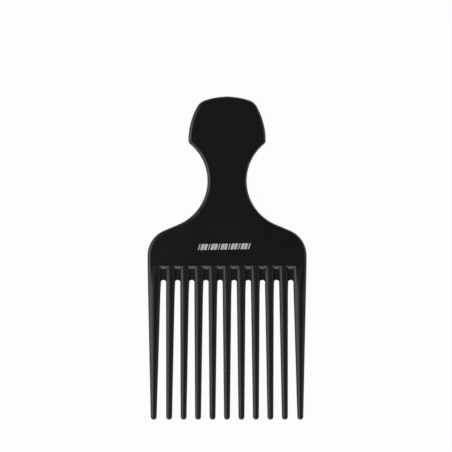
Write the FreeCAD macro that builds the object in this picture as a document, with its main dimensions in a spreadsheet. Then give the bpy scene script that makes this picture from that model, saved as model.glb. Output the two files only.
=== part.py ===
"""A one-piece moulded hair pick: a flat palm grip with a knob and a waist, and a row of long tapered teeth.

It lies on its back face. +X runs across the teeth, +Y along the grip away from the tips, +Z out of the
front face. Every sketch is drawn from two datums: the root line, where the teeth grow out of the plate,
and the parting plane of the mould, which lies halfway through the thickness.
The moulding is divided at the root line and along the tooth flanks, so that each tooth and each thin web
between two teeth is a solid of its own that meets its neighbours face to face.
"""
import FreeCAD
import Part
import Sketcher
import math
import os
from FreeCAD import Vector

# Driving dimensions in millimetres, apart from the count, the angle and the shares.
SIZES = {
    # The plate and the grip, from the root line up to the crown
    "thickness": 4.6,
    "plate_width": 79.5,
    "plate_side_length": 5.2,
    "shoulder_radius": 13.6,
    "shoulder_slope_angle": 22.9,
    "waist_radius": 23.7,
    "neck_width": 19.55,
    "knob_rise": 20.2,
    "knob_width": 38.6,
    "knob_side_radius": 34.5,
    "knob_corner_land": 0.5,
    "knob_length": 21.85,
    "crown_corner_radius": 7.1,
    "crown_radius": 35.0,
    "edge_radius": 1.6,
    "edge_limit_share": 0.45,
    # The teeth, which hang down from the root line
    "tooth_count": 11,
    "tooth_length": 76.9,
    "guard_root_width": 6.85,
    "root_gap": 2.42,
    "guard_inset": 1.6,
    "tip_diameter": 3.0,
    "tip_spread": 1.027,
    "crest_run": 12.0,
    "crest_corner_share": 0.28,
    "crest_arc_share": 0.73,
    # The thin webs between the tooth roots
    "web_thickness": 1.6,
    "web_length": 7.0,
    "web_step_run": 1.5,
    "web_edge_radius": 0.4,
    "arch_share": 0.62,
}

UP = Vector(0, 0, 1)
# A sketch numbers an edge as a whole and its points in this order, and its own axes below zero.
WHOLE, START, END, CENTRE = range(4)
SKETCH_ORIGIN = (-1, START)
LEVEL_AXIS = (-1, WHOLE)
UPRIGHT_AXIS = -2
ON_PLANE = 1e-6
PARTS_FOLDER = "parts"

# Sizes that follow from the driving ones, written as expressions on the sheet.
HALF_PLATE = "(Sizes.plate_width / 2)"
HALF_NECK = "(Sizes.neck_width / 2)"
HALF_KNOB = "(Sizes.knob_width / 2)"
SHOULDER_X = f"({HALF_PLATE} - Sizes.shoulder_radius)"
WAIST_X = f"({HALF_NECK} + Sizes.waist_radius)"
KNOB_SIDE_X = f"({HALF_KNOB} - Sizes.knob_side_radius)"
# The shoulder and the waist share one straight tangent, which fixes how far apart their centres are.
NECK_HEIGHT = (
    "(Sizes.plate_side_length + (Sizes.shoulder_radius + Sizes.waist_radius"
    f" - sin(Sizes.shoulder_slope_angle) * ({WAIST_X} - {SHOULDER_X})) / cos(Sizes.shoulder_slope_angle))"
)
KNOB_HEIGHT = f"({NECK_HEIGHT} + Sizes.knob_rise)"
HANDLE_LENGTH = f"({KNOB_HEIGHT} + Sizes.knob_length)"

# The guard teeth and the gaps are taken from the plate's width, and the inner teeth share out the rest.
TOOTH_ROOT_WIDTH = (
    "((Sizes.plate_width - 2 * Sizes.guard_root_width - (Sizes.tooth_count - 1) * Sizes.root_gap)"
    " / (Sizes.tooth_count - 2))"
)
INNER_PITCH = f"({TOOTH_ROOT_WIDTH} + Sizes.root_gap)"
# One rounding runs along the grip's edges and on down the teeth, limited by the thinnest wall that it meets.
EDGE_RADIUS = f"min(Sizes.edge_radius; min(Sizes.thickness; {TOOTH_ROOT_WIDTH}) * Sizes.edge_limit_share)"
KNOB_CORNER_RADIUS = f"({EDGE_RADIUS} + Sizes.knob_corner_land)"

TIP_RADIUS = "(Sizes.tip_diameter / 2)"
TAPER_LENGTH = f"(Sizes.tooth_length - {TIP_RADIUS})"
TIP_PITCH = f"({INNER_PITCH} * Sizes.tip_spread)"
GUARD_TIP_X = f"({HALF_PLATE} - Sizes.guard_inset - {TIP_RADIUS})"
# The teeth rise to a crest in their middle from the end of this run on, where the plate is flat.
CREST_PLACE = f"(Sizes.crest_run / {TAPER_LENGTH})"
ARCH_RADIUS = "(Sizes.root_gap * Sizes.arch_share)"
WEB_BLANK_LENGTH = f"(Sizes.web_length + {ARCH_RADIUS})"
WEB_EDGE_RADIUS = "min(Sizes.web_edge_radius; Sizes.web_thickness * Sizes.edge_limit_share)"

# The part's origin lies on its back face, under the middle of its whole length.
ROOT_LINE_Y = f"((Sizes.tooth_length - {HANDLE_LENGTH}) / 2)"
PARTING_Z = "(Sizes.thickness / 2)"


def make_sheet(doc):
    """The spreadsheet of driving dimensions, one row each: the name, then the aliased value."""
    sheet = doc.addObject("Spreadsheet::Sheet", "Sizes")
    for row, (alias, value) in enumerate(SIZES.items(), start=1):
        sheet.set(f"A{row}", alias.replace("_", " "))
        sheet.set(f"B{row}", str(value))
        sheet.setAlias(f"B{row}", alias)
    doc.recompute()
    return sheet


def read(item, expression):
    """The value that an expression has now: it places a sketch's lines before its constraints hold them."""
    return float(item.evalExpression(expression))


def make_body(doc, name, x="0"):
    """An empty body whose origin lies on the root line and the parting plane, at the given X."""
    body = doc.addObject("PartDesign::Body", name)
    body.Label = name
    body.setExpression("Placement.Base.x", x)
    body.setExpression("Placement.Base.y", ROOT_LINE_Y)
    body.setExpression("Placement.Base.z", PARTING_Z)
    return body


def make_sketch(body, name, role, x="0", y="0", depth="0"):
    """An empty sketch on the body's origin plane of that role, moved by x and y and along its normal."""
    plane = next(feature for feature in body.Origin.OriginFeatures if feature.Role == role)
    sketch = body.newObject("Sketcher::SketchObject", name)
    sketch.AttachmentSupport = [(plane, "")]
    sketch.MapMode = "FlatFace"
    sketch.setExpression("AttachmentOffset.Base.x", x)
    sketch.setExpression("AttachmentOffset.Base.y", y)
    sketch.setExpression("AttachmentOffset.Base.z", depth)
    return sketch


def arc(centre, radius, start_angle, end_angle):
    """An arc that runs counter-clockwise between two angles in radians."""
    return Part.ArcOfCircle(Part.Circle(centre, UP, radius), start_angle, end_angle)


def heading(start, end):
    """The angle of the direction from one point to another."""
    return math.atan2(end.y - start.y, end.x - start.x)


def polar(centre, radius, angle):
    """The point at that radius and angle from a centre."""
    return centre + Vector(radius * math.cos(angle), radius * math.sin(angle), 0)


def crossing(centre_a, radius_a, centre_b, radius_b):
    """The point where two circles cross, on the left of the way from centre a to centre b."""
    apart = centre_a.distanceToPoint(centre_b)
    turn = math.acos((radius_a**2 + apart**2 - radius_b**2) / (2 * radius_a * apart))
    return polar(centre_a, radius_a, heading(centre_a, centre_b) + turn)


def relate(sketch, kind, *points):
    """Adds a constraint that has no size, such as a tangency between two ends."""
    sketch.addConstraint(Sketcher.Constraint(kind, *points))


def bind(sketch, name, expression, kind, *points):
    """Adds a dimension and binds it to an expression on the sheet."""
    sketch.addConstraint(Sketcher.Constraint(kind, *points, read(sketch, expression)))
    sketch.renameConstraint(sketch.ConstraintCount - 1, name)
    sketch.setExpression(f"Constraints.{name}", expression)


def draw_half_outline(sheet, sketch):
    """The right half of the grip seen from the front, from the root line up to the crown."""
    shoulder_radius = read(sheet, "Sizes.shoulder_radius")
    waist_radius = read(sheet, "Sizes.waist_radius")
    corner_radius = read(sheet, KNOB_CORNER_RADIUS)
    side_radius = read(sheet, "Sizes.knob_side_radius")
    top_radius = read(sheet, "Sizes.crown_corner_radius")
    crown_radius = read(sheet, "Sizes.crown_radius")
    slope = math.radians(read(sheet, "Sizes.shoulder_slope_angle"))

    foot = Vector(read(sheet, HALF_PLATE), 0, 0)
    shoulder = Vector(read(sheet, SHOULDER_X), read(sheet, "Sizes.plate_side_length"), 0)
    waist = Vector(read(sheet, WAIST_X), read(sheet, NECK_HEIGHT), 0)
    side = Vector(read(sheet, KNOB_SIDE_X), read(sheet, KNOB_HEIGHT), 0)
    crown = Vector(0, read(sheet, HANDLE_LENGTH) - crown_radius, 0)
    corner = crossing(side, side_radius - corner_radius, waist, waist_radius + corner_radius)
    top = crossing(side, side_radius - top_radius, crown, crown_radius - top_radius)
    outwards = math.pi / 2 - slope

    apex = polar(crown, crown_radius, math.pi / 2)
    outline = [
        Part.LineSegment(Vector(0, 0, 0), foot),
        Part.LineSegment(foot, polar(shoulder, shoulder_radius, 0)),
        arc(shoulder, shoulder_radius, 0, outwards),
        Part.LineSegment(polar(shoulder, shoulder_radius, outwards), polar(waist, -waist_radius, outwards)),
        arc(waist, waist_radius, heading(waist, corner), outwards + math.pi),
        arc(corner, corner_radius, heading(corner, waist), heading(side, corner)),
        arc(side, side_radius, heading(side, corner), heading(side, top)),
        arc(top, top_radius, heading(side, top), heading(crown, top)),
        arc(crown, crown_radius, heading(crown, top), math.pi / 2),
        Part.LineSegment(apex, Vector(0, 0, 0)),
    ]
    sketch.addGeometry(outline, False)
    base_line, side_line, shoulder_arc, slope_line, waist_arc = range(5)
    corner_arc, knob_arc, top_arc, crown_arc, axis_line = range(5, 10)
    relate(sketch, "Coincident", base_line, START, *SKETCH_ORIGIN)
    relate(sketch, "Horizontal", base_line)
    relate(sketch, "Coincident", base_line, END, side_line, START)
    relate(sketch, "Vertical", side_line)
    relate(sketch, "Tangent", side_line, END, shoulder_arc, START)
    relate(sketch, "Tangent", shoulder_arc, END, slope_line, START)
    relate(sketch, "Tangent", slope_line, END, waist_arc, END)
    relate(sketch, "Tangent", waist_arc, START, corner_arc, START)
    relate(sketch, "Tangent", corner_arc, END, knob_arc, START)
    relate(sketch, "Tangent", knob_arc, END, top_arc, START)
    relate(sketch, "Tangent", top_arc, END, crown_arc, START)
    relate(sketch, "Coincident", crown_arc, END, axis_line, START)
    relate(sketch, "Coincident", axis_line, END, base_line, START)
    relate(sketch, "Vertical", axis_line)
    relate(sketch, "Vertical", crown_arc, CENTRE, *SKETCH_ORIGIN)
    bind(sketch, "half_plate", HALF_PLATE, "Distance", base_line)
    bind(sketch, "plate_side", "Sizes.plate_side_length", "Distance", side_line)
    bind(sketch, "shoulder", "Sizes.shoulder_radius", "Radius", shoulder_arc)
    bind(sketch, "waist", "Sizes.waist_radius", "Radius", waist_arc)
    bind(sketch, "waist_x", WAIST_X, "DistanceX", *SKETCH_ORIGIN, waist_arc, CENTRE)
    bind(sketch, "waist_y", NECK_HEIGHT, "DistanceY", *SKETCH_ORIGIN, waist_arc, CENTRE)
    bind(sketch, "knob_corner", KNOB_CORNER_RADIUS, "Radius", corner_arc)
    bind(sketch, "knob_side", "Sizes.knob_side_radius", "Radius", knob_arc)
    bind(sketch, "knob_x", KNOB_SIDE_X, "DistanceX", *SKETCH_ORIGIN, knob_arc, CENTRE)
    bind(sketch, "knob_y", KNOB_HEIGHT, "DistanceY", *SKETCH_ORIGIN, knob_arc, CENTRE)
    bind(sketch, "top_corner", "Sizes.crown_corner_radius", "Radius", top_arc)
    bind(sketch, "crown", "Sizes.crown_radius", "Radius", crown_arc)
    bind(sketch, "handle_length", HANDLE_LENGTH, "Distance", axis_line)


def rim_edges(shape, half_thickness):
    """The names of the edges round the front and back faces, without those on the root line."""
    names = []
    for number, edge in enumerate(shape.Edges, start=1):
        box = edge.BoundBox
        in_face = box.ZLength < ON_PLANE and abs(abs(box.ZMin) - half_thickness) < ON_PLANE
        on_root_line = abs(box.YMin) < ON_PLANE and box.YLength < ON_PLANE
        if in_face and not on_root_line:
            names.append(f"Edge{number}")
    return names


def make_handle(doc, sheet):
    """The grip: half of its outline, padded and mirrored, with its front and back rims rounded."""
    body = make_body(doc, "handle")
    sketch = make_sketch(body, "half_outline", "XY_Plane")
    draw_half_outline(sheet, sketch)
    pad = body.newObject("PartDesign::Pad", "half_grip")
    pad.Profile = (sketch, [""])
    pad.SideType = "Symmetric"
    pad.setExpression("Length", "Sizes.thickness")
    mirrored = body.newObject("PartDesign::Mirrored", "whole_grip")
    mirrored.Originals = [pad]
    mirrored.MirrorPlane = (sketch, ["V_Axis"])
    body.Tip = mirrored
    doc.recompute()
    rounded = body.newObject("PartDesign::Fillet", "rounded_rims")
    rounded.Base = (mirrored, rim_edges(mirrored.Shape, read(sheet, PARTING_Z)))
    rounded.setExpression("Radius", EDGE_RADIUS)
    body.Tip = rounded
    return body


def draw_rounded_section(sheet, sketch, width, depth, corner):
    """A rounded rectangle about the sketch's origin: its sides in order, each followed by a corner."""
    radius = read(sheet, corner)
    x = read(sheet, width) / 2
    y = read(sheet, depth) / 2
    inner_x = x - radius
    inner_y = y - radius
    quarter = math.pi / 2
    bottom, right_low, right_side, right_high, top, left_high, left_side, left_low = range(8)
    outline = [
        Part.LineSegment(Vector(-inner_x, -y, 0), Vector(inner_x, -y, 0)),
        arc(Vector(inner_x, -inner_y, 0), radius, -quarter, 0),
        Part.LineSegment(Vector(x, -inner_y, 0), Vector(x, inner_y, 0)),
        arc(Vector(inner_x, inner_y, 0), radius, 0, quarter),
        Part.LineSegment(Vector(inner_x, y, 0), Vector(-inner_x, y, 0)),
        arc(Vector(-inner_x, inner_y, 0), radius, quarter, 2 * quarter),
        Part.LineSegment(Vector(-x, inner_y, 0), Vector(-x, -inner_y, 0)),
        arc(Vector(-inner_x, -inner_y, 0), radius, 2 * quarter, 3 * quarter),
    ]
    sketch.addGeometry(outline, False)
    for edge in range(len(outline)):
        relate(sketch, "Tangent", edge, END, (edge + 1) % len(outline), START)
    for level_side in (bottom, top):
        relate(sketch, "Horizontal", level_side)
    for upright_side in (right_side, left_side):
        relate(sketch, "Vertical", upright_side)
    for other_corner in (right_high, left_high, left_low):
        relate(sketch, "Equal", right_low, other_corner)
    relate(sketch, "Symmetric", right_high, CENTRE, left_low, CENTRE, *SKETCH_ORIGIN)
    bind(sketch, "corner", corner, "Radius", right_low)
    bind(sketch, "width", width, "DistanceX", left_side, START, right_side, END)
    bind(sketch, "depth", depth, "DistanceY", bottom, END, top, START)


def draw_crowned_section(sheet, sketch, width, depth, corner, crown):
    """A rounded section about the sketch's origin, crowned: its top and bottom are shallow arcs."""
    radius = read(sheet, corner)
    crown_radius = read(sheet, crown)
    x = read(sheet, width) / 2
    inner_x = x - radius
    crown_drop = crown_radius - read(sheet, depth) / 2
    reach = math.sqrt((crown_radius - radius) ** 2 - inner_x**2)
    inner_y = reach - crown_drop
    turn = math.atan2(reach, inner_x)
    half = math.pi
    bottom, right_low, right_side, right_high, top, left_high, left_side, left_low = range(8)
    outline = [
        arc(Vector(0, crown_drop, 0), crown_radius, half + turn, 2 * half - turn),
        arc(Vector(inner_x, -inner_y, 0), radius, -turn, 0),
        Part.LineSegment(Vector(x, -inner_y, 0), Vector(x, inner_y, 0)),
        arc(Vector(inner_x, inner_y, 0), radius, 0, turn),
        arc(Vector(0, -crown_drop, 0), crown_radius, turn, half - turn),
        arc(Vector(-inner_x, inner_y, 0), radius, half - turn, half),
        Part.LineSegment(Vector(-x, inner_y, 0), Vector(-x, -inner_y, 0)),
        arc(Vector(-inner_x, -inner_y, 0), radius, half, half + turn),
    ]
    sketch.addGeometry(outline, False)
    for edge in range(len(outline)):
        relate(sketch, "Tangent", edge, END, (edge + 1) % len(outline), START)
    for upright_side in (right_side, left_side):
        relate(sketch, "Vertical", upright_side)
    for other_corner in (right_high, left_high, left_low):
        relate(sketch, "Equal", right_low, other_corner)
    relate(sketch, "Equal", bottom, top)
    relate(sketch, "Symmetric", right_high, CENTRE, left_low, CENTRE, *SKETCH_ORIGIN)
    for crown_arc in (bottom, top):
        relate(sketch, "PointOnObject", crown_arc, CENTRE, UPRIGHT_AXIS)
    bind(sketch, "corner", corner, "Radius", right_low)
    bind(sketch, "crown", crown, "Radius", top)
    bind(sketch, "width", width, "DistanceX", left_side, START, right_side, END)
    bind(sketch, "depth", f"({crown} - {depth} / 2)", "DistanceY", top, CENTRE, *SKETCH_ORIGIN)


def make_tooth(doc, sheet, number):
    """One tooth: lofted from the plate's section through a crowned one to its tip, which a dome closes."""
    root_x = tooth_root_x(number)
    root_width = tooth_root_width(number)
    fan = f"({tooth_tip_x(number)} - {root_x})"

    body = make_body(doc, f"tooth_{number + 1:02d}", root_x)
    root = make_sketch(body, "root_section", "XZ_Plane")
    draw_rounded_section(sheet, root, root_width, "Sizes.thickness", EDGE_RADIUS)
    crest_x = f"({fan} * {CREST_PLACE})"
    crest = make_sketch(body, "crest_section", "XZ_Plane", x=crest_x, depth="Sizes.crest_run")
    crest_width = at_crest(root_width)
    crest_depth = at_crest("Sizes.thickness")
    crest_corner = f"(min({crest_width}; {crest_depth}) * Sizes.crest_corner_share)"
    crest_crown = f"({crest_width} * Sizes.crest_arc_share)"
    draw_crowned_section(sheet, crest, crest_width, crest_depth, crest_corner, crest_crown)
    tip = make_sketch(body, "tip_section", "XZ_Plane", x=fan, depth=TAPER_LENGTH)
    tip.addGeometry(Part.Circle(Vector(0, 0, 0), UP, read(sheet, TIP_RADIUS)), False)
    relate(tip, "Coincident", 0, CENTRE, *SKETCH_ORIGIN)
    bind(tip, "tip", TIP_RADIUS, "Radius", 0)
    taper = body.newObject("PartDesign::AdditiveLoft", "taper")
    taper.Profile = (root, [""])
    taper.Sections = [(crest, [""]), (tip, [""])]
    taper.Ruled = True

    dome = make_sketch(body, "dome_section", "XY_Plane", x=fan, y=f"-{TAPER_LENGTH}")
    draw_quarter_disc(sheet, dome, TIP_RADIUS)
    cap = body.newObject("PartDesign::Revolution", "dome")
    cap.Profile = (dome, [""])
    cap.ReferenceAxis = (dome, ["V_Axis"])
    body.Tip = cap
    return body


def draw_quarter_disc(sheet, sketch, radius):
    """A quarter disc below the sketch's origin and on its right, to be turned about the upright axis."""
    size = read(sheet, radius)
    top_line, rim, axis_line = 0, 1, 2
    sketch.addGeometry(
        [
            Part.LineSegment(Vector(0, 0, 0), Vector(size, 0, 0)),
            arc(Vector(0, 0, 0), size, -math.pi / 2, 0),
            Part.LineSegment(Vector(0, -size, 0), Vector(0, 0, 0)),
        ],
        False,
    )
    relate(sketch, "Coincident", top_line, START, *SKETCH_ORIGIN)
    relate(sketch, "Coincident", axis_line, END, top_line, START)
    relate(sketch, "Coincident", rim, CENTRE, top_line, START)
    relate(sketch, "Coincident", top_line, END, rim, END)
    relate(sketch, "Coincident", rim, START, axis_line, START)
    relate(sketch, "Horizontal", top_line)
    relate(sketch, "Vertical", axis_line)
    bind(sketch, "tip", radius, "Radius", rim)


def tooth_root_width(number):
    """The width of a tooth's root: the first and the last are guard teeth, which are wider."""
    if number in (0, SIZES["tooth_count"] - 1):
        return "Sizes.guard_root_width"
    return TOOTH_ROOT_WIDTH


def tooth_root_x(number):
    """Where the middle of a tooth's root lies along X: a guard tooth's outer side is the plate's side."""
    last = SIZES["tooth_count"] - 1
    if number == 0:
        return f"(Sizes.guard_root_width / 2 - {HALF_PLATE})"
    if number == last:
        return f"({HALF_PLATE} - Sizes.guard_root_width / 2)"
    return f"(({number} - {last} / 2) * {INNER_PITCH})"


def tooth_tip_x(number):
    """Where the middle of a tooth's tip lies along X: the inner tips fan out a little, the guards more."""
    last = SIZES["tooth_count"] - 1
    if number == 0:
        return f"(-{GUARD_TIP_X})"
    if number == last:
        return GUARD_TIP_X
    return f"(({number} - {last} / 2) * {TIP_PITCH})"


def at_crest(root_size):
    """What a size of the tooth's root has come down to where the crest begins, on its way to the tip."""
    return f"({root_size} + (Sizes.tip_diameter - {root_size}) * {CREST_PLACE})"


def draw_web_section(sheet, sketch):
    """The web from the side: the plate's full thickness on the root line, sloping in to the thin web."""
    half_plate_thickness = read(sheet, PARTING_Z)
    half_web = read(sheet, "Sizes.web_thickness") / 2
    run = read(sheet, "Sizes.web_step_run")
    length = read(sheet, WEB_BLANK_LENGTH)
    corners = [
        Vector(0, -half_plate_thickness, 0),
        Vector(0, half_plate_thickness, 0),
        Vector(-run, half_web, 0),
        Vector(-length, half_web, 0),
        Vector(-length, -half_web, 0),
        Vector(-run, -half_web, 0),
    ]
    root_side, front_slope, front_side, lower_side, back_side, back_slope = range(len(corners))
    for start, end in zip(corners, corners[1:] + corners[:1]):
        sketch.addGeometry(Part.LineSegment(start, end), False)
    for edge in range(len(corners)):
        relate(sketch, "Coincident", edge, END, (edge + 1) % len(corners), START)
    for upright_side in (root_side, lower_side):
        relate(sketch, "Vertical", upright_side)
    for level_side in (front_side, back_side):
        relate(sketch, "Horizontal", level_side)
    relate(sketch, "Symmetric", root_side, START, root_side, END, *SKETCH_ORIGIN)
    relate(sketch, "Symmetric", front_slope, END, back_slope, START, *LEVEL_AXIS)
    bind(sketch, "plate_thickness", "Sizes.thickness", "Distance", root_side)
    bind(sketch, "web_thickness", "Sizes.web_thickness", "Distance", lower_side)
    bind(sketch, "step_run", "Sizes.web_step_run", "DistanceX", front_slope, END, *SKETCH_ORIGIN)
    bind(sketch, "blank_length", WEB_BLANK_LENGTH, "DistanceX", lower_side, END, *SKETCH_ORIGIN)


def arch_edges(shape, radius):
    """The names of the two edges where the arch meets the web's front and back."""
    names = []
    for number, edge in enumerate(shape.Edges, start=1):
        is_round = isinstance(edge.Curve, Part.Circle) and abs(edge.Curve.Radius - radius) < ON_PLANE
        if is_round:
            names.append(f"Edge{number}")
    return names


def make_web(doc, sheet, number, left_tooth, right_tooth):
    """One web: a blank from the middle of one tooth to the middle of the next, less both teeth."""
    left_x = tooth_root_x(number)
    right_x = tooth_root_x(number + 1)
    middle_x = f"(({left_x} + {right_x}) / 2)"
    name = f"root_web_{number + 1:02d}"

    blank = make_body(doc, f"{name}_blank", middle_x)
    section = make_sketch(blank, "web_section", "YZ_Plane")
    draw_web_section(sheet, section)
    pad = blank.newObject("PartDesign::Pad", "web_pad")
    pad.Profile = (section, [""])
    pad.SideType = "Symmetric"
    pad.setExpression("Length", f"{right_x} - {left_x}")

    # The arch stands in the middle of the gap at its own height, between the flanks of the two teeth.
    root_gap_x = f"({middle_x} + ({tooth_root_width(number)} - {tooth_root_width(number + 1)}) / 4)"
    tip_gap_x = f"(({tooth_tip_x(number)} + {tooth_tip_x(number + 1)}) / 2)"
    arch_x = f"({root_gap_x} + ({tip_gap_x} - {root_gap_x}) * {WEB_BLANK_LENGTH} / {TAPER_LENGTH})"
    arch_y = f"-{WEB_BLANK_LENGTH}"
    arch = make_sketch(blank, "arch_outline", "XY_Plane", x=f"{arch_x} - {middle_x}", y=arch_y)
    arch.addGeometry(Part.Circle(Vector(0, 0, 0), UP, read(sheet, ARCH_RADIUS)), False)
    relate(arch, "Coincident", 0, CENTRE, *SKETCH_ORIGIN)
    bind(arch, "arch", ARCH_RADIUS, "Radius", 0)
    hollow = blank.newObject("PartDesign::Pocket", "arch")
    hollow.Profile = (arch, [""])
    hollow.SideType = "Symmetric"
    hollow.setExpression("Length", "Sizes.thickness")
    doc.recompute()
    rounded = blank.newObject("PartDesign::Fillet", "rounded_arch")
    rounded.Base = (hollow, arch_edges(hollow.Shape, read(sheet, ARCH_RADIUS)))
    rounded.setExpression("Radius", WEB_EDGE_RADIUS)
    blank.Tip = rounded

    beside_left = doc.addObject("Part::Cut", f"{name}_beside_left")
    beside_left.Base = blank
    beside_left.Tool = left_tooth
    web = doc.addObject("Part::Cut", name)
    web.Label = name
    web.Base = beside_left
    web.Tool = right_tooth
    return web


def check(doc, pieces):
    """Stops before anything is written if an object failed or a piece isn't one sound solid."""
    for item in doc.Objects:
        if "Invalid" in item.State or "Error" in item.State:
            raise RuntimeError(f"{item.Label} failed: {item.State}")
        if item.TypeId == "Sketcher::SketchObject" and item.solve() != 0:
            raise RuntimeError(f"sketch {item.Label} doesn't solve")
    for piece in pieces:
        shape = piece.Shape
        if shape.isNull() or not shape.isValid() or len(shape.Solids) != 1:
            raise RuntimeError(f"{piece.Label} isn't one sound solid")


def main():
    doc = FreeCAD.newDocument("hair_pick")
    sheet = make_sheet(doc)
    handle = make_handle(doc, sheet)
    teeth = [make_tooth(doc, sheet, number) for number in range(SIZES["tooth_count"])]
    webs = []
    for number, (left_tooth, right_tooth) in enumerate(zip(teeth, teeth[1:])):
        webs.append(make_web(doc, sheet, number, left_tooth, right_tooth))
    doc.recompute()
    pieces = [handle, *teeth, *webs]
    check(doc, pieces)

    os.makedirs(PARTS_FOLDER, exist_ok=True)
    for piece in pieces:
        piece.Shape.exportStep(f"{PARTS_FOLDER}/{piece.Label}.step")
        print(f"{piece.Label}: {piece.Shape.Volume:.1f} cubic millimetres")
    whole = Part.makeCompound([piece.Shape for piece in pieces])
    box = whole.optimalBoundingBox()
    print(f"overall {box.XLength:.2f} x {box.YLength:.2f} x {box.ZLength:.2f} mm")


main()
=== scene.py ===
# %% [markdown]
# A hair pick, dressed around its CAD frame.
# The real object is one piece of black moulded plastic: a flat palm grip, eleven long teeth and ten thin
# webs between the tooth roots. The CAD parts already have its true shape, so they stay as they are. Blender
# adds what a mould, a stamping press and some months in a drawer leave on it: a parting line, a gate scar,
# ejector marks, a foil stamp, grain, scratches, wear and a little dust.

import bmesh
import bpy
import numpy as np
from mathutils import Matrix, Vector


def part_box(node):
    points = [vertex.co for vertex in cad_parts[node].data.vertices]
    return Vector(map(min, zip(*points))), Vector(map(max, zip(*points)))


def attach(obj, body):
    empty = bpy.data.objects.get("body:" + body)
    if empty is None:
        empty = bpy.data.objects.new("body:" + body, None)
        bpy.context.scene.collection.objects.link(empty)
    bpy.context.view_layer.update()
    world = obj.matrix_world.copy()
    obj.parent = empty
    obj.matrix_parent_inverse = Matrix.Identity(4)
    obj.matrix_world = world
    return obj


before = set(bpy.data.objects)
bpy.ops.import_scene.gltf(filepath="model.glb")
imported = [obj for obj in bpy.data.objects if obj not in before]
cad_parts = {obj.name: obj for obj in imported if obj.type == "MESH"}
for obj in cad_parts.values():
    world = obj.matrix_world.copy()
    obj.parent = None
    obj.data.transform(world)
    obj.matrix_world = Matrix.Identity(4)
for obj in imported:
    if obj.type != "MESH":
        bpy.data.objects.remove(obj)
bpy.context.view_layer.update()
MM = 0.001


# %% [markdown]
# The places below are counted from the frame's own lines, so the dressing moves along when the part is built
# in another size. The grip ends on the root line, where the teeth grow out of it, and the mould parts halfway
# through the thickness. Teeth and webs are sorted from left to right by the middles of their boxes.

# %% Measure the frame
grip_low, grip_high = (np.array(corner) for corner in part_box("handle"))
ROOT_Y, CROWN_Y = grip_low[1], grip_high[1]
TOP_Z = grip_high[2]
PARTING_Z = TOP_Z / 2


def middle(name):
    """The middle of a CAD node's box."""
    return np.mean([np.array(corner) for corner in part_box(name)], axis=0)


def row_of(kind):
    """The CAD nodes whose names start with that kind, from left to right."""
    names = [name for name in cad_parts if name.startswith(kind)]
    return sorted(names, key=lambda name: middle(name)[0])


teeth, webs = row_of("tooth"), row_of("root_web")
print(len(teeth), "teeth and", len(webs), "webs below the root line at", round(ROOT_Y / MM, 2), "mm")

# %% [markdown]
# All the small forms are one thing: rings of points, laid side by side and joined by quads. The flash is a
# profile carried along the pick's outline, an ejector mark is a profile turned on a lathe, and the gate scar
# and the foil are outlines stacked on each other. Blender's curves and its Screw modifier could make them
# too, but arrays show plainly where each point comes from. A level path needs only a quarter turn of its
# direction to find its side, so no twisting frame is carried along.

# %% Make a mesh from a grid of points
CREASE = np.radians(40)


def mesh_piece(name, vertices, faces, slot="black_plastic"):
    """An object at the origin with the vertices and faces given, turned so that its volume is positive.

    The volume of a closed mesh is the sum of its faces' signed pyramids to the origin, which is below zero
    when the faces point inwards. Then every face is reversed. Edges sharper than CREASE stay sharp."""
    mesh = bpy.data.meshes.new(name)
    mesh.from_pydata(np.reshape(vertices, (-1, 3)).tolist(), [], faces)
    shape = bmesh.new()
    shape.from_mesh(mesh)
    if shape.calc_volume(signed=True) < 0:
        bmesh.ops.reverse_faces(shape, faces=shape.faces)
    shape.to_mesh(mesh)
    shape.free()
    mesh.polygons.foreach_set("use_smooth", np.ones(len(mesh.polygons), dtype=bool))
    mesh.set_sharp_from_angle(angle=CREASE)
    piece = bpy.data.objects.new(name, mesh)
    bpy.context.scene.collection.objects.link(piece)
    if slot:
        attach(piece, "root")
        print(name, "has", len(mesh.polygons), "faces")
    return piece


def ring_faces(rows, columns, copies=1, closed=False):
    """Quads between the rings of a grid whose columns close on themselves.

    Point (row, column) of a copy has the number (copy x rows + row) x columns + column. A closed grid's last
    ring meets its first, and an open one gets a cap on its first ring and on its last."""
    copy, row, column = np.meshgrid(np.arange(copies), np.arange(rows if closed else rows - 1),
                                    np.arange(columns), indexing="ij")
    corners = [(row, column), (row, (column + 1) % columns),
               ((row + 1) % rows, (column + 1) % columns), ((row + 1) % rows, column)]
    quads = np.stack([(copy * rows + r) * columns + c for r, c in corners], axis=-1).reshape(-1, 4).tolist()
    if closed:
        return quads
    ring = np.arange(columns) + np.arange(copies)[:, None] * rows * columns
    return quads + ring[:, ::-1].tolist() + (ring + (rows - 1) * columns).tolist()


def sweep(path, profile):
    """Profile points (side, up) carried once round a closed level path: point + side x left + up x Z.

    Left is the path's direction turned a quarter turn, and the direction at a point runs from the point
    before it to the point after it. The grid has one row for each point of the path."""
    direction = np.roll(path, -1, axis=0) - np.roll(path, 1, axis=0)
    direction /= np.linalg.norm(direction, axis=1, keepdims=True)
    left = np.stack([-direction[:, 1], direction[:, 0], np.zeros(len(path))], axis=1)
    return path[:, None] + profile[:, :1] * left[:, None] + profile[:, 1:] * np.array([0.0, 0.0, 1.0])

# %% [markdown]
# Two steel halves meet around the rim of every moulded part, and a hair of plastic creeps in between them.
# On a flat pick this parting line runs once round the whole outline: over the crown, down the flank of each
# tooth, round its tip, up to the next web and across its arch. Drawn by hand it would drift off the rim.
# Cutting the CAD meshes with the parting plane gives the outline itself, so the bead stays on the rim.

# %% Cut the outline out of the CAD meshes
NEAR = 0.02 * MM  # points closer together than this count as one


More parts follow.
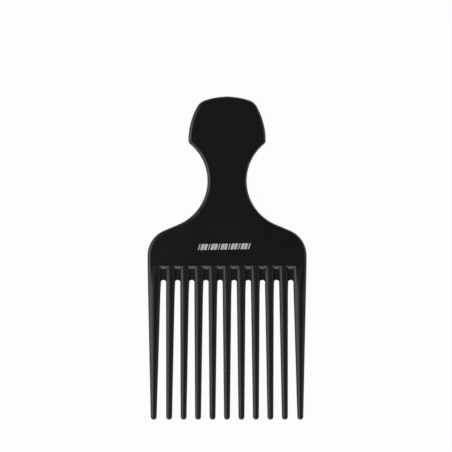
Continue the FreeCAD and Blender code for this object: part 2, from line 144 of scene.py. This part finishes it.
def section(name, z):
    """The points where the level plane at z cuts the edges of a node's triangles, each point once.

    An edge from a to b crosses the plane at a + (b - a) x (z - a.z) / (b.z - a.z). Rounding the points to
    a thousandth of a millimetre lets the two triangles at an edge agree on them."""
    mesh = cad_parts[name].data
    place = np.empty(3 * len(mesh.vertices), dtype=np.float32)
    mesh.vertices.foreach_get("co", place)
    corner = np.empty(len(mesh.loops), dtype=np.int32)
    mesh.loops.foreach_get("vertex_index", corner)
    a = place.reshape(-1, 3)[corner].reshape(-1, 3, 3).astype(float)
    b = np.roll(a, -1, axis=1)
    cut = (a[..., 2] - z) * (b[..., 2] - z) < 0
    a, b = a[cut], b[cut]
    return np.unique(np.round(a + (b - a) * (z - a[:, 2:]) / (b[:, 2:] - a[:, 2:]), 6), axis=0)


def in_order(points, key):
    """The points sorted by a key, without those that lie within NEAR of the one before."""
    points = points[np.argsort(key)]
    apart = np.linalg.norm(np.diff(points, axis=0), axis=1) > NEAR
    return points[np.r_[True, apart]]

# %% [markdown]
# The cut points come in no order, and a bead has to meet them as a finger would on its way round. Sorted by
# their angle around the pick's middle, the points of neighbouring teeth would mix. So each node's share of
# the outline is put in order by itself, and the shares are joined from node to node, anticlockwise.

# %% Follow the outline once round
def grip_rim():
    """Up the right side of the grip, over the crown and down the left side, which mirrors the right."""
    points = section("handle", PARTING_Z)
    points = points[(points[:, 0] > NEAR) & (points[:, 1] > ROOT_Y + NEAR)]
    right = in_order(points, points[:, 1])
    return np.concatenate([right, right[::-1] * (-1, 1, 1)])


def tooth_rim(number):
    """Down a tooth's left flank, round its tip and up its right flank, below the webs beside it.

    A tooth's section has no hollows, so its points are in order by their angle around its middle, counted
    from straight up. The two outer flanks of the row have no web and start at the root line."""
    points = section(teeth[number], PARTING_Z)
    x, y = (points - middle(teeth[number]))[:, :2].T
    has_web = np.where(x < 0, number > 0, number < len(teeth) - 1)
    free = points[:, 1] < np.where(has_web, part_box(webs[0])[0][1], ROOT_Y) - NEAR
    return in_order(points[free], ((np.arctan2(y, x) - np.pi / 2) % (2 * np.pi))[free])


def web_arch(name):
    """From left to right along a web's lower edge: the points that have no other point below them.

    Two points are above each other when they are less than 2 NEAR apart across, and a point is below
    another one when it is more than a quarter of NEAR lower."""
    points = section(name, PARTING_Z)
    points = points[points[:, 1] < (ROOT_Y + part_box(name)[0][1]) / 2]
    across, up = points[:, None, 0] - points[:, 0], points[:, None, 1] - points[:, 1]
    lowest = ~np.any((abs(across) < 2 * NEAR) & (up > NEAR / 4), axis=1)
    return in_order(points[lowest], points[lowest, 0])


runs = [grip_rim(), tooth_rim(0)]
for number, name in enumerate(webs):
    runs += [web_arch(name), tooth_rim(number + 1)]
outline = np.concatenate(runs)
print("the parting line has", len(outline), "points and is",
      round(np.linalg.norm(np.diff(outline, axis=0), axis=1).sum() / MM), "mm long")

# %% [markdown]
# The bead is a low ridge. Left of an anticlockwise path is inside the plastic, so a profile point's side is
# positive where the ridge's foot is sunk into the wall, and negative where its crest stands out.

# %% Lay the bead on the outline
BEAD = np.array([(0.10, -0.11), (-0.03, -0.05), (-0.055, 0.0), (-0.03, 0.05), (0.10, 0.11)]) * MM
parting_line = mesh_piece("parting_line", sweep(outline, BEAD),
                          ring_faces(len(outline), len(BEAD), closed=True))

# %% [markdown]
# The plastic was shot into the mould through a gate in the middle of the crown. Breaking the sprue off
# leaves a small oval pad with a torn face, which a thumb finds at once. A finely divided disc with a Displace
# modifier could be such a pad, but a stack of ovals needs few points and keeps its edge clean. Each ring has
# a share of the full oval and a height over the crown's wall. Two waves, of three and of seven crests, are
# turned a little from ring to ring and make the heights uneven. The wall itself falls away beside the gate
# by x squared / (2 x the crown's radius).

# %% Gate scar
CROWN_RADIUS = 35 * MM
SCAR_REACH = np.array([1.35, 0.58]) * MM  # half the oval's width and half its height


def full_turn(steps):
    """That many even steps once round, in radians."""
    return np.linspace(0, 2 * np.pi, steps, endpoint=False)


scar_turn = full_turn(steps=40)
scar_share = np.array([1.0, 1.0, 0.97, 0.9, 0.75, 0.55, 0.35, 0.15])[:, None]
scar_height = np.array([-0.1, 0.0, 0.06, 0.1, 0.11, 0.09, 0.1, 0.12])[:, None] * MM
torn = 1 + 0.22 * np.sin(3 * scar_turn + 5 * scar_share) + 0.16 * np.sin(7 * scar_turn - 9 * scar_share)
scar_x = SCAR_REACH[0] * scar_share * np.cos(scar_turn)
scar_y = CROWN_Y - scar_x ** 2 / (2 * CROWN_RADIUS) + scar_height * torn
scar_z = PARTING_Z + SCAR_REACH[1] * scar_share * np.sin(scar_turn)
gate_scar = mesh_piece("gate_scar", np.stack([scar_x, scar_y, scar_z], axis=-1),
                       ring_faces(len(scar_share), len(scar_turn)))

# %% [markdown]
# The back lay against the ejector pins that push the warm part out of the mould. Each pin leaves a disc
# with a hair-thin burr round it. Bump alone could draw them, but a fingernail catches on the burr, so it is
# in the mesh: a lathe profile turned round each pin's axis, over the disc, over the burr, and back under the
# plastic's skin. The back is at z = 0, so what stands out is negative. Every point keeps its distance from
# the axis as an attribute, because the material draws the turning marks with it.

# %% Ejector marks
PIN_PLACES = np.array([(0, 62), (0, 39), (0, 11), (-26, 7), (26, 7)]) * MM + (0, ROOT_Y)
pin_turn = full_turn(steps=64)
pin_radius = np.array([0.2, 2.3, 2.42, 2.5, 2.58, 2.66, 2.66, 0.2])[:, None] * MM
pin_depth = np.array([-0.012, -0.012, -0.03, -0.045, -0.03, 0.0, 0.05, 0.05])[:, None] * MM
lathe = np.stack(np.broadcast_arrays(pin_radius * np.cos(pin_turn), pin_radius * np.sin(pin_turn),
                                     pin_depth), axis=-1)
marks = lathe + np.c_[PIN_PLACES, np.zeros(len(PIN_PLACES))][:, None, None]
ejector_marks = mesh_piece("ejector_marks", marks, ring_faces(len(pin_radius), len(pin_turn), len(marks)))
from_axis = np.broadcast_to(pin_radius / MM, marks.shape[:3]).ravel().astype(np.float32)
ejector_marks.data.attributes.new("from_axis", "FLOAT", "POINT").data.foreach_set("value", from_axis)

# %% [markdown]
# Low on the plate a hot stamp presses silver foil into the plastic. The stamped line is a generic row of
# leaning bars, every third one narrow, so that its rhythm is uneven. A mask in the plastic's material could
# paint them, but foil has an edge that catches the light. So each bar is a very low pillow: squared outlines,
# each set in a little from the one below, the first sunk into the plastic and the last closed by a flat
# face. A bar leans because its x moves along with its y, and the whole row rises by one degree.

# %% Foil stamp
BARS = 16
BAR_PITCH, BAR_HEIGHT = 1.67 * MM, 2.95 * MM
NARROW, WIDE = 0.5 * MM, 1.45 * MM
STAMP_MIDDLE = np.array([-1.37 * MM, ROOT_Y + 9.7 * MM])
LEAN, RISE = np.radians(18), np.radians(1)


def squared(wave):
    """A sine or cosine pushed out towards 1 and -1, which squares a circle: its seventh root, sign kept."""
    return np.sign(wave) * abs(wave) ** (1 / 7)


bar_turn = full_turn(steps=48)
bar = np.arange(BARS)[:, None, None]
inset = np.array([0.0, 0.0, 0.03, 0.1])[:, None] * MM
level = np.array([-0.03, 0.0, 0.01, 0.014])[:, None] * MM
half_width = np.where(bar % 3 == 0, NARROW, WIDE) / 2
bar_y = (BAR_HEIGHT / 2 - inset) * squared(np.sin(bar_turn))
bar_x = (half_width - inset) * squared(np.cos(bar_turn)) + bar_y * np.tan(LEAN)
bar_x = bar_x + (bar - (BARS - 1) / 2) * BAR_PITCH
bars = np.stack([STAMP_MIDDLE[0] + bar_x * np.cos(RISE) - bar_y * np.sin(RISE),
                 STAMP_MIDDLE[1] + bar_x * np.sin(RISE) + bar_y * np.cos(RISE),
                 np.broadcast_to(TOP_Z + level, bar_x.shape)], axis=-1)
foil_stamp = mesh_piece("foil_stamp", bars, ring_faces(len(level), len(bar_turn), BARS), slot="silver_foil")

# %% [markdown]
# The camera looks straight down. An orthographic one would keep all edges parallel, but the photograph was
# taken through a lens, so a long lens from far above comes closest. Half a millimetre fills one pixel. The
# picture's middle lies 20 mm above the root line and half a millimetre left of the pick's middle.

# %% Camera
PICTURE_WIDTH = 226 * MM
PICTURE_CENTRE = Vector((-0.525 * MM, ROOT_Y + 19.99 * MM, PARTING_Z))
LENS, SENSOR = 200.0, 36.0
camera_data = bpy.data.cameras.new("camera_above")
camera_data.lens = LENS
camera_data.sensor_width = SENSOR
camera_data.clip_start = 0.01
camera = bpy.data.objects.new("camera_above", camera_data)
camera.location = PICTURE_CENTRE + Vector((0, 0, PICTURE_WIDTH * LENS / SENSOR))
bpy.context.scene.collection.objects.link(camera)
bpy.context.scene.camera = camera
bpy.context.scene.view_settings.view_transform = "Standard"
print("the camera is", round(camera.location.z, 2), "m above the pick")

# %% [markdown]
# Every material below is a handful of nodes. One helper adds a node and fills its sockets with numbers or
# with links, one does arithmetic, and one makes a smooth step. Others read the point's place, read how far
# the surface faces up, and make noise. They keep the recipes short enough to read.

# %% Node helpers
PER_METRE = 1000.0  # millimetres in a metre: sizes are given in millimetres, and places come in metres


def add(tree, kind, sockets=None, **settings):
    """A new shader node with its settings made and its sockets filled with numbers or with links."""
    node = tree.nodes.new("ShaderNode" + kind)
    for setting, value in settings.items():
        setattr(node, setting, value)
    for socket, value in (sockets or {}).items():
        if isinstance(value, bpy.types.NodeSocket):
            tree.links.new(value, node.inputs[socket])
        else:
            node.inputs[socket].default_value = value
    return node


def maths(tree, operation, *values):
    """The result of a Math node for numbers or sockets."""
    return add(tree, "Math", dict(enumerate(values)), operation=operation).outputs[0]


def between(tree, value, start, end, low=0.0, high=1.0):
    """A smooth step: low up to start, high from end on."""
    sockets = {"Value": value, "From Min": start, "From Max": end, "To Min": low, "To Max": high}
    return add(tree, "MapRange", sockets, interpolation_type="SMOOTHSTEP").outputs["Result"]


def object_place(tree):
    """The point's place on the object, in metres."""
    return add(tree, "TexCoord").outputs["Object"]


def facing_up(tree):
    """How far the surface faces up, from -1 to 1: the height of its normal on the object."""
    return add(tree, "SeparateXYZ", {0: add(tree, "TexCoord").outputs["Normal"]}).outputs["Z"]


def noise(tree, size, detail=2.0):
    """Cloudy noise from 0 to 1 with features of about that size in millimetres."""
    scale = maths(tree, "DIVIDE", PER_METRE, size)
    return add(tree, "TexNoise", {"Vector": object_place(tree), "Scale": scale, "Detail": detail}).outputs[0]

# %% [markdown]
# Grain, scratches, rim wear and dust are on every black piece, only in other amounts. Each one is a node
# group: built once, with named numbers going in and a mask or a height coming out, and placed in each
# material with that piece's own values. The shader itself stays in the material.

# %% Start a node group
def effect(name, inputs, outputs):
    """An empty node group, the sockets that its numbers come from and the sockets that its results go to."""
    tree = bpy.data.node_groups.new(name, "ShaderNodeTree")
    for socket, value in inputs.items():
        made = tree.interface.new_socket(socket, in_out="INPUT", socket_type="NodeSocketFloat")
        made.default_value = value
    for socket in outputs:
        tree.interface.new_socket(socket, in_out="OUTPUT", socket_type="NodeSocketFloat")
    return tree, tree.nodes.new("NodeGroupInput").outputs, tree.nodes.new("NodeGroupOutput").inputs


def finish_effect(tree, results, values):
    """Links each value to the group's result of that name."""
    for socket, value in values.items():
        tree.links.new(value, results[socket])
    print("effect", tree.name, "gives", ", ".join(values))

# %% [markdown]
# Moulded plastic copies the steel of its mould. The polished steel leaves a very fine grain, and the melt,
# as it cools, a slow cloudiness in the gloss. Two noises of different sizes make them, and each material
# decides what it does with the two.

# %% Moulded grain
tree, given, results = effect("moulded_grain", {"Grain Size": 0.4, "Cloud Size": 11.0}, ["Height", "Cloud"])
finish_effect(tree, results, {"Height": noise(tree, given["Grain Size"], detail=3.0),
                              "Cloud": noise(tree, given["Cloud Size"])})

# %% [markdown]
# Hair, fingers and the other things in a drawer draw thin lines, most of them along the pick. Noise that is
# stretched along one direction gives long streaks, and a high threshold keeps only their crests. A larger
# share lowers the threshold. A second, slow noise gathers the scratches into patches.

# %% Fine scratches
HIGHEST, FALL, FADE = 0.82, 0.25, 0.05  # the threshold at no share, its fall for a full one, its soft edge
SCRATCH_PATCH = 14.0  # in millimetres
tree, given, results = effect("fine_scratches", {"Turn": 0.0, "Width": 0.16, "Length": 9.0, "Share": 0.3},
                              ["Mask"])
angle = maths(tree, "RADIANS", given["Turn"])
turned = add(tree, "VectorRotate", {"Vector": object_place(tree), "Angle": angle},
             rotation_type="Z_AXIS").outputs[0]
split = add(tree, "SeparateXYZ", {0: turned}).outputs


def counted_in(axis, size):
    """The place along an axis, counted in that size of a scratch."""
    return maths(tree, "DIVIDE", maths(tree, "MULTIPLY", split[axis], PER_METRE), given[size])


stretched = add(tree, "CombineXYZ", {"X": counted_in("X", "Width"), "Y": counted_in("Y", "Length"),
                                     "Z": counted_in("Z", "Width")}).outputs[0]
streaks = add(tree, "TexNoise", {"Vector": stretched, "Scale": 1.0, "Detail": 1.0}).outputs[0]
threshold = maths(tree, "SUBTRACT", HIGHEST, maths(tree, "MULTIPLY", given["Share"], FALL))
crests = between(tree, streaks, start=threshold, end=maths(tree, "ADD", threshold, FADE))
gathered = between(tree, noise(tree, SCRATCH_PATCH), start=0.4, end=0.6)
finish_effect(tree, results, {"Mask": maths(tree, "MULTIPLY", crests, gathered)})

# %% [markdown]
# Handling rubs the rounded rims first. They could be painted by hand, but on a flat part they are simply
# where the surface faces neither straight up nor straight out, and the normal tells that anywhere. The mask
# opens where the normal starts to lift from the level, and closes again where it is nearly upright. Noise
# breaks the wear up.

# %% Rim wear
tree, given, results = effect("rim_wear", {"Patch Size": 3.0, "Amount": 0.5}, ["Mask"])
upright = maths(tree, "ABSOLUTE", facing_up(tree))
lifted = between(tree, upright, start=0.1, end=0.5)
not_flat = between(tree, upright, start=0.99, end=0.85)
rim = maths(tree, "MULTIPLY", lifted, not_flat)
broken = between(tree, noise(tree, given["Patch Size"], detail=4.0), start=0.45, end=0.65)
patches = maths(tree, "MULTIPLY", broken, given["Amount"])
finish_effect(tree, results, {"Mask": maths(tree, "MULTIPLY", rim, patches)})

# %% [markdown]
# Dust settles as single specks on whatever faces up. Scattered objects would be far too many for what they
# show. Voronoi cells spread the specks evenly instead, and each cell's random colour decides whether it
# holds a speck and how large that is.

# %% Settled dust
LARGEST_SPECK = 0.06  # its radius, as a share of the spacing
tree, given, results = effect("settled_dust", {"Spacing": 2.2, "Share": 0.25}, ["Mask"])
cells = add(tree, "TexVoronoi", {"Vector": object_place(tree),
                                 "Scale": maths(tree, "DIVIDE", PER_METRE, given["Spacing"])}).outputs
chance = add(tree, "SeparateColor", {0: cells["Color"]}).outputs
size = maths(tree, "MULTIPLY", chance["Green"], LARGEST_SPECK)
speck = maths(tree, "MULTIPLY", maths(tree, "LESS_THAN", cells["Distance"], size),
              maths(tree, "LESS_THAN", chance["Red"], given["Share"]))
lying = between(tree, facing_up(tree), start=0.3, end=0.9)
finish_effect(tree, results, {"Mask": maths(tree, "MULTIPLY", speck, lying)})

# %% [markdown]
# The black plastic itself is one recipe. Its colour is near black with a breath of olive, lighter where the
# rim is worn or dust lies. Its gloss changes with the clouds, and dulls in scratches. The pieces differ in
# their values: the palm polishes the grip, hair and its grease rub the teeth to a satin, and the webs between
# them stay as dull as the mould left them.

# %% Black plastic recipe
BLACK = (0.0051, 0.0057, 0.0035, 1)
SCUFFED = (0.022, 0.0225, 0.0185, 1)
DUST = (0.13, 0.127, 0.12, 1)
PIN_GREY = (0.012, 0.0124, 0.0095, 1)
PLASTIC_IOR = 1.49
CLOUD_ROUGH, SCRATCH_ROUGH, WEAR_ROUGH, DUST_ROUGH = 0.08, 0.12, 0.12, 0.4
GRAIN_HEIGHT, SCRATCH_HEIGHT, DUST_HEIGHT = 0.6, -0.8, 1.5


def use(tree, name, **values):
    """A node group placed in a material with its own values, which are named with _ for each space."""
    placed = add(tree, "Group", node_tree=bpy.data.node_groups[name])
    for socket, value in values.items():
        placed.inputs[socket.replace("_", " ")].default_value = value
    return placed.outputs


def blend_colour(tree, share, under, over):
    """The colour under, with that share of the colour over."""
    return add(tree, "Mix", {0: share, 6: under, 7: over}, data_type="RGBA").outputs[2]


def weighted(tree, start, *terms):
    """The start value plus each (socket, weight) pair's product."""
    total = start
    for value, weight in terms:
        total = maths(tree, "MULTIPLY_ADD", value, weight, total)
    return total


def black_plastic(name, roughness, grain, scratches, wear, dust, base=BLACK, bump=0.005, extra_height=None):
    """A material of black plastic with its own roughness, grain, scratches, wear and dust.

    The clouds lie around a half, so half of what they add comes off the roughness first. The bump is the
    relief's full height in millimetres."""
    look = bpy.data.materials.new(name)
    look.use_nodes = True
    tree = look.node_tree
    shader = tree.nodes["Principled BSDF"]
    shader.inputs["IOR"].default_value = PLASTIC_IOR
    grained = use(tree, "moulded_grain", **grain)
    scratched = use(tree, "fine_scratches", **scratches)["Mask"]
    worn = use(tree, "rim_wear", **wear)["Mask"]
    dusty = use(tree, "settled_dust", **dust)["Mask"]
    colour = blend_colour(tree, worn, base, SCUFFED)
    tree.links.new(blend_colour(tree, dusty, colour, DUST), shader.inputs["Base Color"])
    rough = weighted(tree, roughness - CLOUD_ROUGH / 2, (grained["Cloud"], CLOUD_ROUGH),
                     (scratched, SCRATCH_ROUGH), (worn, WEAR_ROUGH), (dusty, DUST_ROUGH))
    tree.links.new(rough, shader.inputs["Roughness"])
    height = weighted(tree, 0.0, (grained["Height"], GRAIN_HEIGHT), (scratched, SCRATCH_HEIGHT),
                      (dusty, DUST_HEIGHT))
    if extra_height:
        height = maths(tree, "ADD", height, extra_height(tree))
    relief = add(tree, "Bump", {"Height": height, "Distance": bump * MM})
    tree.links.new(relief.outputs[0], shader.inputs["Normal"])
    print("material", name, "with roughness about", roughness)
    return look


def dress(look, *pieces):
    """Gives each piece the material as its only one."""
    for piece in pieces:
        piece.data.materials.clear()
        piece.data.materials.append(look)

# %% [markdown]
# On the grip the melt spread out from the gate, and very faint flow marks still fan out from it. They are
# noise over the angle around the gate, which hardly changes with the distance from it.

# %% Grip
FAN_CENTRE_Y = float(CROWN_Y + 4 * MM)
PER_ANGLE, PER_DISTANCE = 40.0, 60.0  # for each radian and for each metre
FLOW_HEIGHT = 1.2


def flow_marks(tree):
    """A height of slow waves: noise at (PER_ANGLE x angle, PER_DISTANCE x distance) from the fan's centre."""
    split = add(tree, "SeparateXYZ", {0: object_place(tree)}).outputs
    down = maths(tree, "SUBTRACT", FAN_CENTRE_Y, split["Y"])
    angle = maths(tree, "ARCTAN2", split["X"], down)
    across_squared = maths(tree, "POWER", split["X"], 2.0)
    distance = maths(tree, "SQRT", maths(tree, "MULTIPLY_ADD", down, down, across_squared))
    fan = add(tree, "CombineXYZ", {"X": maths(tree, "MULTIPLY", angle, PER_ANGLE),
                                   "Y": maths(tree, "MULTIPLY", distance, PER_DISTANCE)}).outputs[0]
    waves = add(tree, "TexNoise", {"Vector": fan, "Scale": 1.0}).outputs[0]
    return maths(tree, "MULTIPLY", waves, FLOW_HEIGHT)


dress(black_plastic("grip_black", roughness=0.33, grain=dict(Grain_Size=0.42, Cloud_Size=13.0),
                    scratches=dict(Turn=12.0, Share=0.35), wear=dict(Patch_Size=3.5, Amount=0.5),
                    dust=dict(Spacing=2.4, Share=0.10), extra_height=flow_marks),
      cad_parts["handle"])

# %% [markdown]
# Hair runs along the teeth, so their scratches are longer and lie along them too. The webs are sheltered in
# the pockets between the roots: hardly anything rubs them, and dust stays in the corners.

# %% Teeth and webs
dress(black_plastic("tooth_black", roughness=0.42, grain=dict(Grain_Size=0.36, Cloud_Size=8.0),
                    scratches=dict(Turn=0.0, Length=12.0, Share=0.45), wear=dict(Patch_Size=2.0, Amount=0.6),
                    dust=dict(Spacing=2.6, Share=0.08)),
      *(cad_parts[name] for name in teeth))
dress(black_plastic("web_black", roughness=0.40, grain=dict(Grain_Size=0.5, Cloud_Size=3.0),
                    scratches=dict(Turn=0.0, Share=0.1), wear=dict(Patch_Size=1.0, Amount=0.2),
                    dust=dict(Spacing=1.1, Share=0.3)),
      *(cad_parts[name] for name in webs))

# %% [markdown]
# The flash of the parting line is thin, so it scuffs more than the rest. The torn gate turned pale where the
# plastic was stretched before it broke, which shows as more wear and a coarse, deep grain. The ejector marks
# copy the pins' turned ends: fine rings, drawn from each point's distance from its pin's axis.

# %% Parting line, gate scar and ejector marks
dress(black_plastic("flash_black", roughness=0.38, grain=dict(Grain_Size=0.2, Cloud_Size=5.0),
                    scratches=dict(Turn=0.0, Share=0.3), wear=dict(Patch_Size=1.5, Amount=0.9),
                    dust=dict(Spacing=1.5, Share=0.1)), parting_line)
dress(black_plastic("torn_black", roughness=0.52, grain=dict(Grain_Size=0.18, Cloud_Size=0.8),
                    scratches=dict(Turn=90.0, Share=0.4), wear=dict(Patch_Size=0.5, Amount=1.0),
                    dust=dict(Spacing=0.8, Share=0.2), bump=0.05), gate_scar)
RING_PITCH, RING_HEIGHT = 0.16, 0.5


def turned_rings(tree):
    """A height of rings: the sine of 2 pi x the distance from the axis / the pitch, both in millimetres."""
    distance = add(tree, "Attribute", attribute_name="from_axis").outputs["Fac"]
    wave = maths(tree, "SINE", maths(tree, "MULTIPLY", distance, 2 * np.pi / RING_PITCH))
    return maths(tree, "MULTIPLY", wave, RING_HEIGHT)


dress(black_plastic("pin_black", roughness=0.46, grain=dict(Grain_Size=0.3, Cloud_Size=2.0),
                    scratches=dict(Turn=45.0, Share=0.3), wear=dict(Patch_Size=1.0, Amount=0.6),
                    dust=dict(Spacing=2.0, Share=0.1), base=PIN_GREY, extra_height=turned_rings),
      ejector_marks)

# %% [markdown]
# Stamped foil is a film of aluminium under clear lacquer. It is bright but not a mirror, since it copies the
# plastic's grain under it. Rubbing takes it off in pinholes, where the black shows through, so one mask
# lowers the metal, darkens the colour and roughens the surface together.

# %% Foil
SILVER = (0.81, 0.81, 0.82, 1)
METAL, FOIL_ROUGH = 0.38, 0.36
FOIL_CLOUDS, LOST_ROUGH, LOST_HEIGHT = 0.14, 0.15, -0.5
SCRATCHED_OFF = 0.6  # the share of the film that a scratch takes along
FOIL_RELIEF = 0.01 * MM
foil = bpy.data.materials.new("stamped_foil")
foil.use_nodes = True
tree = foil.node_tree
shader = tree.nodes["Principled BSDF"]
grained = use(tree, "moulded_grain", Grain_Size=0.25, Cloud_Size=4.0)
scratched = use(tree, "fine_scratches", Turn=80.0, Width=0.1, Length=3.0, Share=0.5)["Mask"]
pinholes = between(tree, noise(tree, size=0.35, detail=3.0), start=0.66, end=0.70)
lost = maths(tree, "MAXIMUM", pinholes, maths(tree, "MULTIPLY", scratched, SCRATCHED_OFF))
tree.links.new(blend_colour(tree, lost, SILVER, BLACK), shader.inputs["Base Color"])
tree.links.new(weighted(tree, METAL, (lost, -METAL)), shader.inputs["Metallic"])
rough = weighted(tree, FOIL_ROUGH, (grained["Cloud"], FOIL_CLOUDS), (lost, LOST_ROUGH))
tree.links.new(rough, shader.inputs["Roughness"])
film = weighted(tree, 0.0, (grained["Height"], 1.0), (lost, LOST_HEIGHT))
relief = add(tree, "Bump", {"Height": film, "Distance": FOIL_RELIEF})
tree.links.new(relief.outputs[0], shader.inputs["Normal"])
dress(foil, foil_stamp)
print("material", foil.name, "with roughness about", FOIL_ROUGH)

# %% [markdown]
# The pick lies on white paper. The camera and the reflections see that paper as almost pure white, and the
# small rest is real diffuse paper, which keeps the shadow that grounds the pick. Light that the floor
# throws back at the pick comes from the paper alone, so the whiteness adds no light.

# %% Floor
PAPER = 0.9
WHITE_SHARE = 0.965
FLOOR_Z = -0.06 * MM  # just under the burrs of the ejector marks
REACH = 4.0  # half the floor's width in metres
corners = np.array([(-REACH, -REACH, FLOOR_Z), (REACH, -REACH, FLOOR_Z), (REACH, REACH, FLOOR_Z),
                    (-REACH, REACH, FLOOR_Z)])
floor = mesh_piece("floor", corners, [(0, 1, 2, 3)], slot=None)
paper_look = bpy.data.materials.new("white_paper")
paper_look.use_nodes = True
tree = paper_look.node_tree
tree.nodes.clear()
path = add(tree, "LightPath").outputs
looked_at = maths(tree, "MAXIMUM", path["Is Camera Ray"], path["Is Glossy Ray"])
paper = add(tree, "BsdfDiffuse", {"Color": (PAPER, PAPER, PAPER, 1)}).outputs[0]
white = add(tree, "Emission", {"Color": (1, 1, 1, 1), "Strength": 1.0}).outputs[0]
shown_white = maths(tree, "MULTIPLY", looked_at, WHITE_SHARE)
mixed = add(tree, "MixShader", {0: shown_white, 1: paper, 2: white}).outputs[0]
add(tree, "OutputMaterial", {"Surface": mixed})
floor.data.materials.append(paper_look)
print("the floor is", 2 * REACH, "m wide and", round(-FLOOR_Z / MM, 2), "mm below the pick's back")

# %% [markdown]
# The room is a soft dome: bright near the horizon, dim overhead. A picture of a real studio could light the
# pick too, but a single smooth step needs no file. The flat faces look up into the dim part, which keeps
# them deep black, and the rounded rims look sideways into the bright part and light up. The camera itself
# sees plain white.

# %% Room
HORIZON, OVERHEAD = 0.7, 0.045
DIM_FROM = 0.7  # a direction's height, from 0 at the horizon to 1 overhead, where the dimming ends
world = bpy.data.worlds.new("studio")
bpy.context.scene.world = world
world.use_nodes = True
tree = world.node_tree
tree.nodes.clear()
height = add(tree, "SeparateXYZ", {0: add(tree, "TexCoord").outputs["Generated"]}).outputs["Z"]
dome = between(tree, height, start=0.0, end=DIM_FROM, low=HORIZON, high=OVERHEAD)
room = add(tree, "Background", {"Strength": dome}).outputs[0]
plain = add(tree, "Background", {"Color": (1, 1, 1, 1), "Strength": 1.0}).outputs[0]
camera_ray = add(tree, "LightPath").outputs["Is Camera Ray"]
add(tree, "OutputWorld", {"Surface": add(tree, "MixShader", {0: camera_ray, 1: room, 2: plain}).outputs[0]})
print("the room's light is", HORIZON, "at the horizon and", OVERHEAD, "overhead")

# %% [markdown]
# Three soft boxes shape the rims. The key from the left draws the bright line down each left flank, the low
# one in front lights the steps at the roots, and a weak fill from the right keeps the right flanks readable.
# A lamp's place is its direction from the pick, where an azimuth of 0 is to the right and 90 past the crown,
# and its distance in metres.

# %% Lamps
def soft_box(name, azimuth, elevation, distance, width, height, radiance):
    """An area lamp that looks at the pick. Its power is radiance x pi x area."""
    turn, rise = np.radians(azimuth), np.radians(elevation)
    direction = Vector((np.cos(rise) * np.cos(turn), np.cos(rise) * np.sin(turn), np.sin(rise)))
    lamp = bpy.data.lights.new(name, "AREA")
    lamp.shape = "RECTANGLE"
    lamp.size = width
    lamp.size_y = height
    lamp.energy = radiance * np.pi * width * height
    holder = bpy.data.objects.new(name, lamp)
    holder.location = direction * distance
    holder.rotation_euler = direction.to_track_quat("Z", "Y").to_euler()
    bpy.context.scene.collection.objects.link(holder)
    print(name, "gives", round(lamp.energy, 1), "W")


soft_box("key_left", azimuth=186, elevation=42, distance=2.0, width=2.0, height=2.0, radiance=2.6)
soft_box("low_front", azimuth=266, elevation=12, distance=1.3, width=0.5, height=0.30, radiance=11.0)
soft_box("fill_right", azimuth=10, elevation=30, distance=1.4, width=0.9, height=0.6, radiance=1.2)
